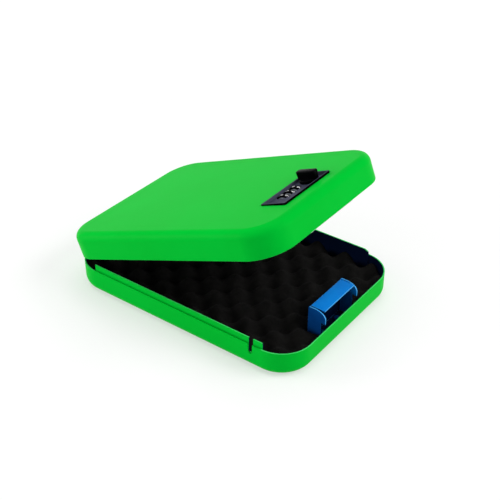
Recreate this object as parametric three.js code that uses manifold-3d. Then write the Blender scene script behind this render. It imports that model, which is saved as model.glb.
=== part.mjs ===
// A portable car safe: a flat steel box in two pressed halves with a piano hinge at
// the back, a three-dial lock with a thumb turn in the lid, and a blue keeper bracket
// that the lock's latch slide hooks under. Millimetres, +Z up. The origin is the centre
// of the underside, X runs along the hinge, and the lock side faces -Y. The lid is
// modelled closed and its group is turned about the hinge pin to the angle shown.

import * as THREE from 'three';
import { mergeVertices } from 'three/addons/utils/BufferGeometryUtils.js';
import Module from 'manifold-3d';

const wasm = await Module();
wasm.setup();

// Sizes of the two pressed halves
const boxWidth = 168;
const boxLength = 240;
const planRadius = 29;
const sheet = 1.2;
const baseHeight = 23.4;
const baseEdgeRadius = 8.1;
const lidHeight = 24.4;
const lidEdgeRadius = 7.8;
const rimGap = 0.3;
const openAngle = THREE.MathUtils.degToRad(21.8);

// Fits shared by all pieces
const gap = 0.3;
const overrun = 5;

// Piano hinge
const hingeLength = 96;
const knuckleCount = 7;
const leafSheet = 0.9;
const leafDepth = 15;
const pinStandOut = 0.3;
const pinHeadLength = 0.8;
const pinHeadLip = 0.6;

// Inner lip strips along the two long sides
const lipSheet = 1.2;
const lipRise = 5.5;
const lipFoot = 10;
const lipFrontPast = 1;
const lipChamfer = 3;

// Cable slot in the left wall
const slotWidth = 4.2;
const slotBottom = 14.3;
const slotFromFront = 39.6;

// Keeper bracket: folded sheet with a top plate and two hooked ears
const keeperSheet = 1.2;
const keeperCentreX = -2.6;
const keeperBackFromFront = 21.1;
const keeperRise = 12.2;
const keeperPlateWidth = 46.8;
const keeperPlateDepth = 14.4;
const keeperBendRadius = 1.8;
const earRelief = 0.6;
const earDrop = 0.7;
const earReach = 16.7;
const earShoulder = 5.6;
const earCurveDrop = 7.2;
const earLegDepth = 12.7;
const noseTipHeight = 24;
const noseTipLand = 2.4;
const noseUndercutRise = 0.4;
const keeperFootDepth = 12;
const keeperRivetSpacing = 24;
const rivetRadius = 1.5;
const rivetHeadRadius = 3;
const rivetHeadHeight = 1.2;
const rivetHeadEdge = 0.4;
const rivetTailRadius = 2.4;

// Foam in the base, with egg-crate waves, and the flat foam in the lid
const foamPitch = 30;
const foamPeak = 18.2;
const foamValley = 7.4;
const foamPhaseX = 6;
const foamPhaseY = 6;
const foamCellSteps = 5;
const foamNotchMargin = 3;
const lidFoamThickness = 3;
const lidFoamInset = 1;

// Opening in the lid for the lock, and the plate behind it
const lockCentreX = -3.25;
const lockFromFront = 16.4;
const lockOpeningWidth = 64.5;
const lockOpeningDepth = 25.6;
const lockCornerRadius = 0.8;
const lockEdgeBevel = 0.5;
const plateThickness = 2;
const plateSideMargin = 8;
const plateFrontMargin = 4;
const plateRearMargin = 9.5;
const plateCornerRadius = 3;
const studInset = 3.8;
const studSpacingY = 16;
const studRadius = 1.4;
const studLength = 7.7;
const nutAcrossCorners = 6.3;
const nutHeight = 2.4;

// Number dials
const dialCount = 3;
const dialPitch = 8.2;
const dialCentreX = -6.8;
const dialFromFront = 34.1;
const dialRadius = 9.4;
const dialWidth = 4.2;
const dialProud = 1.5;
const digitCount = 10;
const grooveDepth = 0.45;
const grooveHalfAngle = THREE.MathUtils.degToRad(4.2);
const digitOffset = THREE.MathUtils.degToRad(-8);
const windowEndRoom = 3.4;
const axleRadius = 1.6;
const sleeveRadius = 3.6;
const gateRadius = 6.5;
const gateFlat = 5;
const gateThickness = 1.3;

// Thumb turn, spindle and crank
const knobX = 15;
const knobFromFront = 28.7;
const skirtRadius = 8;
const skirtHeight = 2.8;
const skirtEdge = 0.9;
const barLength = 18.6;
const barWidth = 6.4;
const barFlare = 0.4;
const barCornerRadius = 2.4;
const barEdge = 0.7;
const knobHeight = 9.4;
const spindleSquare = 4.4;
const spindleGrip = 4.6;
const journalRadius = 3.3;
const crankRadius = 4.3;
const crankThickness = 3;
const crankThrow = 2.8;
const crankPinRadius = 1;
const screwRadius = 0.8;
const screwHeadRadius = 1.5;
const screwHeadHeight = 0.8;
const screwLength = 6;

// Latch slide, a flat frame round the keeper, and the shoulder screws that carry it
const slideSheet = 1;
const slideCornerRadius = 2;
const slideFrontGap = 0.4;
const slideArmWidth = 5.5;
const windowSideRoom = 1.5;
const windowRearRoom = 0.8;
const noseRoom = 0.4;
const shoulderRadius = 1.6;
const shoulderHeadRadius = 3;
const shoulderHeadHeight = 1.1;
const shoulderThreadRadius = 1.1;
const shoulderThreadLength = 6;
const bossRadius = 3;

// Lock case and the fence that swings through the gates
const caseWall = 1.5;
const caseFlange = 1.5;
const caseFrontFromFront = 22.5;
const crankBayWidth = 12.5;
const fenceRadius = 1.2;
const fenceOffsetY = 10;
const fenceOffsetZ = 5.8;
const fenceBite = 0.9;
const fenceFingerThickness = 1.2;
const leverTipRadius = 1;
const leverWidth = 2;
const leverArmHalf = 0.5;
const forkPostDepth = 1.2;
const caseRearRoom = 0.4;

// Detent spring, a comb of three fingers
const springSheet = 0.3;
const springFingerWidth = 3.2;
const springFootHeight = 4;
const springFootRise = 1.1;
const springBump = 0.8;

// Facet counts
const cornerSteps = 10;
const edgeSteps = 5;
const roundSides = 20;
const smallSides = 16;
const cutCornerSteps = 3;
const grooveSteps = 2;
const landSteps = 3;

// Places that follow from the sizes
const halfWidth = boxWidth / 2;
const halfLength = boxLength / 2;
const front = -halfLength;
const wallInside = halfWidth - sheet;
const rearInside = halfLength - sheet;
const floorTop = sheet;
const lidRim = baseHeight + rimGap;
const lidTop = lidRim + lidHeight;
const lidUnderside = lidTop - sheet;

const hingeY = halfLength + pinStandOut;
const hingeZ = baseHeight + rimGap / 2;
const barrelRadius = hingeY - (rearInside - gap - leafSheet);
const boreRadius = barrelRadius - leafSheet;
const pinRadius = boreRadius - gap;
const notchHalf = hingeLength / 2 + pinHeadLength + 2 * gap;

const keeperBackY = front + keeperBackFromFront;
const keeperTopZ = baseHeight + keeperRise;
const keeperHalf = keeperPlateWidth / 2;
const earInner = keeperHalf + earRelief;
const earOuter = earInner + keeperSheet;
const keeperFloor = floorTop + gap;
const noseFrontY = keeperBackY - earReach;

const plateTop = lidUnderside - gap;
const plateBottom = plateTop - plateThickness;
const lockCentreY = front + lockFromFront + lockOpeningDepth / 2;
const plateFrontY = front + lockFromFront - plateFrontMargin;
const plateRearY = front + lockFromFront + lockOpeningDepth + plateRearMargin;
const plateHalf = lockOpeningWidth / 2 + plateSideMargin;
const flangeTop = plateBottom - gap;
const flangeBottom = flangeTop - caseFlange;
const studX = plateHalf - studInset;

const dialY = front + dialFromFront;
const dialZ = plateTop + dialProud - dialRadius;
const dialSpread = (dialCount - 1) * dialPitch + dialWidth;
const windowHalf = dialSpread / 2 + windowEndRoom;
const windowEnd = Math.sqrt((dialRadius + gap) ** 2 - (dialRadius - dialProud) ** 2);
const knobY = front + knobFromFront;

const slideTop = noseTipHeight - gap;
const slideBottom = slideTop - slideSheet;
const caseBottom = slideTop + gap;
const slideTravel = 2 * crankThrow * Math.SQRT1_2;
const crankBottom = slideTop + 2 * gap + screwHeadHeight;
const crankTop = crankBottom + crankThickness;

const caseLeft = dialCentreX - windowHalf - caseWall;
const dialBayRight = dialCentreX + dialSpread / 2 - dialWidth + dialPitch;
const ribRight = dialBayRight + caseWall;
const caseRight = ribRight + crankBayWidth + caseWall;
const fenceY = dialY + fenceOffsetY;
const fenceZ = dialZ - fenceOffsetZ;
const fenceDistance = Math.hypot(fenceOffsetY, fenceOffsetZ);
const fenceAim = Math.atan2(fenceOffsetZ, -fenceOffsetY);
const fenceReach = fenceDistance - gateRadius + fenceBite;
const forkPostOut = leverTipRadius + gap + forkPostDepth;
const caseFrontY = front + caseFrontFromFront;
const caseRearInner = fenceY + slideTravel / 2 + forkPostOut + caseRearRoom;
const leverRight = dialCentreX - dialSpread / 2 - 2 * gap;
const leverLeft = leverRight - leverWidth;

const forkTop = fenceZ - fenceRadius - gap;
const windowSide = earOuter + windowSideRoom;
const shoulderY = lockCentreY + (studSpacingY + nutAcrossCorners) / 2 + gap + bossRadius;

// Solids: closed three.js geometries handed to the boolean kernel and back
function toSolid(geometry) {
  const bare = geometry.index ? geometry.toNonIndexed() : geometry.clone();
  for (const name of Object.keys(bare.attributes)) {
    if (name !== 'position') bare.deleteAttribute(name);
  }
  const merged = mergeVertices(bare);
  const vertProperties = new Float32Array(merged.attributes.position.array);
  const triVerts = new Uint32Array(merged.index.array);
  const solid = new wasm.Manifold(new wasm.Mesh({ numProp: 3, vertProperties, triVerts }));
  if (solid.volume() > 0) return solid;
  return new wasm.Manifold(new wasm.Mesh({ numProp: 3, vertProperties, triVerts: triVerts.reverse() }));
}

function toGeometry(solid) {
  const mesh = solid.getMesh();
  const geometry = new THREE.BufferGeometry();
  geometry.setAttribute('position', new THREE.BufferAttribute(mesh.vertProperties, mesh.numProp));
  geometry.setIndex(new THREE.BufferAttribute(mesh.triVerts, 1));
  geometry.computeVertexNormals();
  return geometry;
}

const join = (first, ...others) => others.reduce((sum, other) => sum.add(other), first);
const cut = (solid, ...tools) => tools.reduce((rest, tool) => rest.subtract(tool), solid);

function block([x0, y0, z0], [x1, y1, z1]) {
  const geometry = new THREE.BoxGeometry(x1 - x0, y1 - y0, z1 - z0);
  geometry.translate((x0 + x1) / 2, (y0 + y1) / 2, (z0 + z1) / 2);
  return toSolid(geometry);
}

// A round bar along Z through a point in the XY plane
function barZ(radius, [x, y], z0, z1, sides = smallSides) {
  const geometry = new THREE.CylinderGeometry(radius, radius, z1 - z0, sides);
  geometry.rotateX(Math.PI / 2);
  geometry.translate(x, y, (z0 + z1) / 2);
  return toSolid(geometry);
}

// A round bar along X through a point in the YZ plane
function barX(radius, [y, z], x0, x1, sides = smallSides) {
  const geometry = new THREE.CylinderGeometry(radius, radius, x1 - x0, sides);
  geometry.rotateZ(Math.PI / 2);
  geometry.translate((x0 + x1) / 2, y, z);
  return toSolid(geometry);
}

// An outline drawn in YZ and extruded along X
function prismX(shape, x0, x1) {
  const geometry = new THREE.ExtrudeGeometry(shape, {
    depth: x1 - x0,
    bevelEnabled: false,
    curveSegments: cornerSteps,
  });
  const turn = new THREE.Matrix4().makeBasis(
    new THREE.Vector3(0, 1, 0),
    new THREE.Vector3(0, 0, 1),
    new THREE.Vector3(1, 0, 0),
  );
  geometry.applyMatrix4(turn);
  geometry.translate(x0, 0, 0);
  return toSolid(geometry);
}

function shapeOf(points) {
  return new THREE.Shape(points.map(([u, v]) => new THREE.Vector2(u, v)));
}

function prismZ(points, z0, z1) {
  const geometry = new THREE.ExtrudeGeometry(shapeOf(points), { depth: z1 - z0, bevelEnabled: false });
  geometry.translate(0, 0, z0);
  return toSolid(geometry);
}

// A profile of radius and height, closed on the axis, turned about Z
function lathe(profile, sides = smallSides) {
  const geometry = new THREE.LatheGeometry(profile.map(([r, z]) => new THREE.Vector2(r, z)), sides);
  geometry.rotateX(Math.PI / 2);
  return toSolid(geometry);
}

// Outline of a rectangle with round corners, anticlockwise, about a centre
function roundedRectangle(halfX, halfY, radius, steps = cornerSteps, [centreX, centreY] = [0, 0]) {
  const points = [];
  const corners = [[1, 1], [-1, 1], [-1, -1], [1, -1]];
  corners.forEach(([sideX, sideY], corner) => {
    for (let step = 0; step <= steps; step += 1) {
      const angle = (Math.PI / 2) * (corner + step / steps);
      const x = centreX + sideX * (halfX - radius) + radius * Math.cos(angle);
      const y = centreY + sideY * (halfY - radius) + radius * Math.sin(angle);
      const last = points[points.length - 1];
      if (!last || Math.hypot(last[0] - x, last[1] - y) > radius * Number.EPSILON * boxLength) {
        points.push([x, y]);
      }
    }
  });
  return points;
}

// A closed solid through rings of equal point count, with a fan over each end
function loft(rings) {
  const count = rings[0].outline.length;
  const positions = [];
  const indices = [];
  rings.forEach(({ outline, z }) => outline.forEach(([x, y]) => positions.push(x, y, z)));
  for (let ring = 0; ring + 1 < rings.length; ring += 1) {
    for (let point = 0; point < count; point += 1) {
      const next = (point + 1) % count;
      const low = ring * count;
      const high = low + count;
      indices.push(low + point, low + next, high + next, low + point, high + next, high + point);
    }
  }
  const caps = [[0, true], [rings.length - 1, false]];
  caps.forEach(([ring, facesDown]) => {
    const centre = positions.length / 3;
    const middle = rings[ring].outline.reduce(([sumX, sumY], [x, y]) => [sumX + x, sumY + y], [0, 0]);
    positions.push(middle[0] / count, middle[1] / count, rings[ring].z);
    for (let point = 0; point < count; point += 1) {
      const a = ring * count + point;
      const b = ring * count + ((point + 1) % count);
      indices.push(centre, facesDown ? b : a, facesDown ? a : b);
    }
  });
  const geometry = new THREE.BufferGeometry();
  geometry.setAttribute('position', new THREE.Float32BufferAttribute(positions, 3));
  geometry.setIndex(indices);
  return toSolid(geometry);
}

// Plan outline of the box, drawn in by an inset
function planOutline(inset) {
  return roundedRectangle(halfWidth - inset, halfLength - inset, planRadius - inset);
}

// Rings up a rounded bottom edge, from the flat floor to the upright wall
function edgeRings(inset, floor, radius) {
  const rings = [];
  for (let step = 0; step <= edgeSteps; step += 1) {
    const angle = (Math.PI / 2) * (step / edgeSteps);
    const drawnIn = inset + radius * (1 - Math.sin(angle));
    rings.push({ outline: planOutline(drawnIn), z: floor + radius * (1 - Math.cos(angle)) });
  }
  return rings;
}

// A pressed half with its open side up and its floor at zero
function pressedHalf(height, edgeRadius) {
  const outside = edgeRings(0, 0, edgeRadius);
  const inside = edgeRings(sheet, sheet, edgeRadius - sheet).reverse();
  const rim = [{ outline: planOutline(0), z: height }, { outline: planOutline(sheet), z: height }];
  return loft([...outside, ...rim, ...inside]);
}

// Room for the hinge barrel in the rear rims
function hingeNotch() {
  const depth = barrelRadius + gap;
  return block(
    [-notchHalf, rearInside - gap, hingeZ - depth],
    [notchHalf, halfLength + overrun, hingeZ + depth],
  );
}

// The cable slot, open at the top, through everything between two X values
function cableSlot(x0, x1) {
  const y = front + slotFromFront;
  const radius = slotWidth / 2;
  const round = barX(radius, [y, slotBottom + radius], x0, x1, roundSides);
  const top = baseHeight + lipRise + overrun;
  return join(round, block([x0, y - radius, slotBottom + radius], [x1, y + radius, top]));
}

function keeperRivetPlaces() {
  const y = keeperBackY - keeperFootDepth / 2;
  return [-1, 1].map((side) => [keeperCentreX + (side * keeperRivetSpacing) / 2, y]);
}

function baseShell() {
  const rivetHoles = keeperRivetPlaces().map(([x, y]) => lathe([
    [0, -overrun],
    [rivetTailRadius + gap, -overrun],
    [rivetTailRadius + gap, 0],
    [rivetRadius + gap, sheet],
    [rivetRadius + gap, overrun],
    [0, overrun],
  ]).translate([x, y, 0]));
  const slot = cableSlot(-halfWidth - overrun, -wallInside + gap);
  return cut(pressedHalf(baseHeight, baseEdgeRadius), hingeNotch(), slot, ...rivetHoles);
}

// A strip just inside a long wall, with its front corner cut off
function lipStrip(side) {
  const rear = halfLength - planRadius;
  const frontEnd = -rear - lipFrontPast;
  const top = baseHeight + lipRise;
  const outline = shapeOf([
    [frontEnd, lipFoot],
    [rear, lipFoot],
    [rear, top],
    [frontEnd + lipChamfer, top],
    [frontEnd, top - lipChamfer],
  ]);
  const outer = wallInside - gap;
  const inner = outer - lipSheet;
  if (side > 0) return prismX(outline, inner, outer);
  return cut(prismX(outline, -outer, -inner), cableSlot(-outer - gap, -inner + gap));
}

// One ear of the keeper, seen from the side: round shoulder, hooked nose, straight leg
function earOutline() {
  const shape = new THREE.Shape();
  const top = keeperTopZ - earDrop;
  const curveEnd = top - earCurveDrop;
  const shoulderY = keeperBackY - earShoulder;
  const legY = keeperBackY - earLegDepth;
  shape.moveTo(keeperBackY, keeperFloor);
  shape.lineTo(keeperBackY, top);
  shape.lineTo(shoulderY, top);
  shape.absellipse(
    shoulderY, curveEnd, shoulderY - noseFrontY, earCurveDrop, Math.PI / 2, Math.PI, false, 0,
  );
  shape.lineTo(noseFrontY, noseTipHeight);
  shape.lineTo(noseFrontY + noseTipLand, noseTipHeight);
  shape.lineTo(legY, noseTipHeight + noseUndercutRise);
  shape.lineTo(legY, keeperFloor);
  return shape;
}

// Top plate, back plate and foot of the keeper as one folded strip
function keeperFold() {
  const shape = new THREE.Shape();
  const bendIn = keeperBendRadius - keeperSheet;
  const bendY = keeperBackY - keeperBendRadius;
  const bendZ = keeperTopZ - keeperBendRadius;
  const under = keeperTopZ - keeperSheet;
  const inner = keeperBackY - keeperSheet;
  shape.moveTo(keeperBackY, keeperFloor);
  shape.lineTo(keeperBackY, bendZ);
  shape.absarc(bendY, bendZ, keeperBendRadius, 0, Math.PI / 2, false);
  shape.lineTo(keeperBackY - keeperPlateDepth, keeperTopZ);
  shape.lineTo(keeperBackY - keeperPlateDepth, under);
  shape.lineTo(bendY, under);
  shape.absarc(bendY, bendZ, bendIn, Math.PI / 2, 0, true);
  shape.lineTo(inner, keeperFloor + keeperSheet);
  shape.lineTo(keeperBackY - keeperFootDepth, keeperFloor + keeperSheet);
  shape.lineTo(keeperBackY - keeperFootDepth, keeperFloor);
  return shape;
}

function keeperBracket() {
  const ear = earOutline();
  const fold = prismX(keeperFold(), keeperCentreX - keeperHalf, keeperCentreX + keeperHalf);
  const web = block(
    [keeperCentreX - earOuter, keeperBackY - keeperSheet, keeperFloor],
    [keeperCentreX + earOuter, keeperBackY, keeperTopZ - keeperBendRadius - earRelief],
  );
  const ears = [
    prismX(ear, keeperCentreX - earOuter, keeperCentreX - earInner),
    prismX(ear, keeperCentreX + earInner, keeperCentreX + earOuter),
  ];
  const holes = keeperRivetPlaces().map((place) => (
    barZ(rivetRadius + gap, place, 0, keeperFloor + keeperSheet + gap)
  ));
  return cut(join(fold, web, ...ears), ...holes);
}

// A rivet through the keeper's foot, with a countersunk tail flush with the underside
function keeperRivet() {
  const footTop = keeperFloor + keeperSheet + gap;
  const tailZ = gap / 2;
  return lathe([
    [0, tailZ],
    [rivetTailRadius, tailZ],
    [rivetRadius, sheet],
    [rivetRadius, footTop],
    [rivetHeadRadius, footTop],
    [rivetHeadRadius - rivetHeadEdge, footTop + rivetHeadHeight - rivetHeadEdge],
    [0, footTop + rivetHeadHeight],
  ]);
}

// A block with an egg-crate top, later trimmed by the inside of the base
function eggCrateBlock() {
  const step = foamPitch / foamCellSteps;
  const columns = Math.ceil(boxWidth / step);
  const rows = Math.ceil(boxLength / step);
  const middle = (foamPeak + foamValley) / 2;
  const swing = (foamPeak - foamValley) / 2;
  const wave = (distance) => Math.cos((2 * Math.PI * distance) / foamPitch);
  const positions = [];
  const indices = [];
  for (let row = 0; row <= rows; row += 1) {
    for (let column = 0; column <= columns; column += 1) {
      const x = (column - columns / 2) * step;
      const y = (row - rows / 2) * step;
      positions.push(x, y, middle + swing * wave(x - foamPhaseX) * wave(y - foamPhaseY));
    }
  }
  const at = (column, row) => row * (columns + 1) + column;
  for (let row = 0; row < rows; row += 1) {
    for (let column = 0; column < columns; column += 1) {
      const [a, b] = [at(column, row), at(column + 1, row)];
      const [c, d] = [at(column + 1, row + 1), at(column, row + 1)];
      indices.push(a, b, c, a, c, d);
    }
  }
  const border = [];
  for (let column = 0; column < columns; column += 1) border.push(at(column, 0));
  for (let row = 0; row < rows; row += 1) border.push(at(columns, row));
  for (let column = columns; column > 0; column -= 1) border.push(at(column, rows));
  for (let row = rows; row > 0; row -= 1) border.push(at(0, row));
  const foot = positions.length / 3;
  border.forEach((point) => positions.push(positions[3 * point], positions[3 * point + 1], 0));
  const centre = positions.length / 3;
  positions.push(0, 0, 0);
  border.forEach((point, index) => {
    const next = (index + 1) % border.length;
    indices.push(point, foot + index, foot + next, point, foot + next, border[next]);
    indices.push(centre, foot + next, foot + index);
  });
  const geometry = new THREE.BufferGeometry();
  geometry.setAttribute('position', new THREE.Float32BufferAttribute(positions, 3));
  geometry.setIndex(indices);
  return toSolid(geometry);
}

function baseFoam() {
  const inset = sheet + gap + lipSheet + gap;
  const room = loft([
    ...edgeRings(inset, floorTop + gap, baseEdgeRadius - sheet),
    { outline: planOutline(inset), z: baseHeight },
  ]);
  const notchHalfWidth = earOuter + foamNotchMargin;
  const notch = block(
    [keeperCentreX - notchHalfWidth, front, 0],
    [keeperCentreX + notchHalfWidth, keeperBackY + foamNotchMargin, baseHeight],
  );
  return cut(eggCrateBlock().intersect(room), notch);
}

// A hinge leaf rolled round the pin. The lid's leaf rises from it and the base's hangs.
function hingeLeaf(isLid) {
  const pitch = hingeLength / knuckleCount;
  const half = hingeLength / 2;
  const inner = hingeY - barrelRadius;
  const rise = isLid ? leafDepth : -leafDepth;
  const low = Math.min(hingeZ, hingeZ + rise);
  const high = Math.max(hingeZ, hingeZ + rise);
  const barrel = barX(barrelRadius, [hingeY, hingeZ], -half, half, roundSides);
  const strip = block([-half, inner, low], [half, inner + leafSheet, high]);
  const bore = barX(boreRadius, [hingeY, hingeZ], -half - overrun, half + overrun, roundSides);
  const room = barrelRadius + gap;
  const others = [];
  for (let knuckle = isLid ? 0 : 1; knuckle < knuckleCount; knuckle += 2) {
    const x0 = -half + knuckle * pitch - gap / 2;
    others.push(block(
      [knuckle === 0 ? x0 - gap : x0, hingeY - room - gap, hingeZ - room],
      [x0 + pitch + gap, hingeY + room, hingeZ + room],
    ));
  }
  return cut(join(barrel, strip), bore, ...others);
}

function hingePin() {
  const half = hingeLength / 2;
  const headOut = half + gap + pinHeadLength;
  const shank = barX(pinRadius, [hingeY, hingeZ], -headOut, headOut, roundSides);
  const heads = [-1, 1].map((side) => {
    const ends = [side * (half + gap), side * headOut].sort((a, b) => a - b);
    return barX(pinRadius + pinHeadLip, [hingeY, hingeZ], ...ends, roundSides);
  });
  return join(shank, ...heads);
}

function studPlaces() {
  const places = [];
  [-1, 1].forEach((sideX) => [-1, 1].forEach((sideY) => {
    places.push([lockCentreX + sideX * studX, lockCentreY + (sideY * studSpacingY) / 2]);
  }));
  return places;
}

function lidShell() {
  const pan = pressedHalf(lidHeight, lidEdgeRadius).rotate([180, 0, 0]).translate([0, 0, lidTop]);
  const opening = (margin) => roundedRectangle(
    lockOpeningWidth / 2 + margin,
    lockOpeningDepth / 2 + margin,
    lockCornerRadius,
    cutCornerSteps,
    [lockCentreX, lockCentreY],
  );
  const lockHole = loft([
    { outline: opening(0), z: lidUnderside - overrun },
    { outline: opening(0), z: lidTop - lockEdgeBevel },
    { outline: opening(lockEdgeBevel), z: lidTop },
    { outline: opening(lockEdgeBevel), z: lidTop + overrun },
  ]);
  const studs = studPlaces().map((place) => (
    barZ(studRadius, place, lidUnderside - studLength, lidUnderside + sheet / 2)
  ));
  return join(cut(pan, lockHole, hingeNotch()), ...studs);
}

function plateOutline(inset) {
  const halfY = (plateRearY - plateFrontY) / 2;
  return roundedRectangle(
    plateHalf - inset,
    halfY - inset,
    plateCornerRadius,
    cutCornerSteps,
    [lockCentreX, plateFrontY + halfY],
  );
}

function studHoles(z0, z1) {
  return studPlaces().map((place) => barZ(studRadius + gap, place, z0, z1));
}

// The dark plate that shows in the lid, with the dial window and the spindle hole
function lockFaceplate() {
  const z0 = plateBottom - overrun;
  const z1 = plateTop + overrun;
  const dialWindow = prismZ(
    roundedRectangle(windowHalf, windowEnd, windowEnd, cornerSteps, [dialCentreX, dialY]),
    z0,
    z1,
  );
  const dialRoom = barX(
    dialRadius + gap,
    [dialY, dialZ],
    dialCentreX - dialSpread / 2 - gap,
    dialCentreX + dialSpread / 2 + gap,
    roundSides * 2,
  );
  const spindleHole = barZ(journalRadius + gap, [knobX, knobY], z0, z1, roundSides);
  const plate = prismZ(plateOutline(0), plateBottom, plateTop);
  return cut(plate, dialWindow, dialRoom, spindleHole, ...studHoles(z0, z1));
}

function shoulderPlaces() {
  return [[caseLeft - bossRadius, shoulderY], [caseRight + bossRadius, shoulderY]];
}

// The case under the plate: a flange, a bay for the dials and a bay for the crank
function lockCase() {
  const flange = prismZ(plateOutline(0), flangeBottom, flangeTop);
  const caseRearY = caseRearInner + caseWall;
  const body = block([caseLeft, caseFrontY, caseBottom], [caseRight, caseRearY, flangeTop]);
  const innerFront = caseFrontY + caseWall;
  const dialBay = block(
    [caseLeft + caseWall, innerFront, caseBottom - overrun],
    [dialBayRight, caseRearInner, flangeTop + overrun],
  );
  const crankBay = block(
    [ribRight, innerFront, caseBottom - overrun],
    [caseRight - caseWall, caseRearInner, flangeBottom],
  );
  const bosses = shoulderPlaces().map((place) => join(
    barZ(bossRadius, place, caseBottom, flangeTop, roundSides),
    block(
      [Math.min(place[0], 0), place[1] - bossRadius / 2, caseBottom],
      [Math.max(place[0], 0), place[1] + bossRadius / 2, flangeTop],
    ).intersect(block(
      [place[0] - bossRadius, place[1] - bossRadius, caseBottom],
      [place[0] + bossRadius, place[1] + bossRadius, flangeTop],
    )),
  ));
  const bossHoles = shoulderPlaces().map((place) => (
    barZ(shoulderThreadRadius + gap, place, caseBottom - overrun, caseBottom + shoulderThreadLength + gap)
  ));
  const seatLeft = caseLeft + gap;
  const axleSeat = barX(axleRadius + gap, [dialY, dialZ], seatLeft, ribRight + gap);
  const fenceSeat = barX(fenceRadius + gap, [fenceY, fenceZ], seatLeft, ribRight + gap);
  const spindleHole = barZ(
    journalRadius + gap,
    [knobX, knobY],
    flangeBottom - gap,
    flangeTop + gap,
    roundSides,
  );
  const whole = join(flange, body, ...bosses);
  const holes = studHoles(flangeBottom - overrun, flangeTop + overrun);
  return cut(whole, dialBay, crankBay, axleSeat, fenceSeat, spindleHole, ...bossHoles, ...holes);
}

function lockNut() {
  const geometry = new THREE.CylinderGeometry(nutAcrossCorners / 2, nutAcrossCorners / 2, nutHeight, 6);
  geometry.rotateX(Math.PI / 2);
  return cut(toSolid(geometry), barZ(studRadius + gap, [0, 0], -nutHeight, nutHeight));
}

function dialAxle() {
  return barX(axleRadius, [dialY, dialZ], caseLeft + 2 * gap, ribRight - gap);
}

// A number ring with a finger groove between neighbouring digits, about its own axle
function numberRing() {
  const points = [];
  const pitch = (2 * Math.PI) / digitCount;
  const landHalf = pitch / 2 - grooveHalfAngle;
  const add = (radius, angle) => points.push([-radius * Math.sin(angle), radius * Math.cos(angle)]);
  for (let digit = 0; digit < digitCount; digit += 1) {
    const middle = digitOffset + digit * pitch;
    for (let step = 0; step <= landSteps; step += 1) {
      add(dialRadius, middle - landHalf + (2 * landHalf * step) / landSteps);
    }
    for (let step = 1; step < grooveSteps; step += 1) {
      const share = step / grooveSteps;
      const depth = grooveDepth * Math.sin(Math.PI * share);
      add(dialRadius - depth, middle + landHalf + 2 * grooveHalfAngle * share);
    }
  }
  const ring = prismX(shapeOf(points), -dialWidth / 2, dialWidth / 2);
  return cut(ring, barX(sleeveRadius + gap, [0, 0], -dialWidth, dialWidth, roundSides));
}

// The sleeve inside a number ring, with the flatted gate disc beside the ring
function gateRing() {
  const left = -dialWidth / 2;
  const right = left + dialPitch - gap;
  const gateLeft = (dialWidth + dialPitch) / 2 - dialWidth / 2 - gateThickness / 2;
  const sleeve = barX(sleeveRadius, [0, 0], left, right, roundSides);
  const disc = barX(gateRadius, [0, 0], gateLeft, gateLeft + gateThickness, roundSides);
  const toFence = -Math.atan2(fenceOffsetZ, fenceOffsetY);
  const flatCut = block(
    [gateLeft - gap, gateFlat, -gateRadius],
    [gateLeft + gateThickness + gap, gateRadius, gateRadius],
  ).rotate([THREE.MathUtils.radToDeg(toFence), 0, 0]);
  const bore = barX(axleRadius + gap, [0, 0], left - overrun, right + overrun, roundSides);
  return cut(join(sleeve, cut(disc, flatCut)), bore);
}

const gateMiddle = (dialWidth + dialPitch) / 2 - dialWidth / 2;
const dialPlaces = Array.from({ length: dialCount }, (_, index) => (
  dialCentreX + (index - (dialCount - 1) / 2) * dialPitch
));

// A springy comb whose fingers reach forward to a groove at the back of each dial
function detentSpring() {
  const rear = caseRearInner - gap;
  const grooveAngle = digitOffset - (Math.PI * 5) / digitCount;
  const bumpZ = dialZ + dialRadius * Math.cos(grooveAngle);
  const bumpY = dialY + Math.sqrt((dialRadius + gap) ** 2 - (bumpZ - dialZ) ** 2);
  const footLow = bumpZ + springFootRise;
  const foot = block(
    [dialPlaces[0] - springFingerWidth / 2, rear - springSheet, footLow],
    [dialPlaces[dialCount - 1] + springFingerWidth / 2, rear, footLow + springFootHeight],
  );
  const outline = shapeOf([
    [bumpY, bumpZ + springBump],
    [rear - springSheet / 2, footLow + 2 * springSheet],
    [rear - springSheet / 2, footLow],
    [bumpY + springSheet, bumpZ + springBump - springSheet],
    [bumpY + springSheet, bumpZ - springBump],
    [bumpY + 3 * springSheet, bumpZ - 2 * springBump],
    [bumpY + 2 * springSheet, bumpZ - 2 * springBump],
    [bumpY, bumpZ - springBump],
  ]);
  const fingers = dialPlaces.map((x) => (
    prismX(outline, x - springFingerWidth / 2, x + springFingerWidth / 2)
  ));
  return join(foot, ...fingers);
}

// The fence: a shaft with a finger for each gate and a lever, about its own axis and
// drawn at mid turn, when the fingers point at the dial axle and the lever hangs down
function fenceBar() {
  const left = caseLeft + 2 * gap;
  const shaft = barX(fenceRadius, [0, 0], left, ribRight - gap);
  const aim = THREE.MathUtils.radToDeg(fenceAim);
  const fingers = dialPlaces.map((x) => block(
    [x + gateMiddle - gateThickness / 2, 0, -fenceFingerThickness / 2],
    [x + gateMiddle + gateThickness / 2, fenceReach, fenceFingerThickness / 2],
  ).rotate([aim, 0, 0]));
  const lever = join(
    block([leverLeft, -leverArmHalf, -crankThrow], [leverRight, leverArmHalf, 0]),
    barX(leverTipRadius, [0, -crankThrow], leverLeft, leverRight),
  );
  return join(shaft, lever, ...fingers);
}

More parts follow.
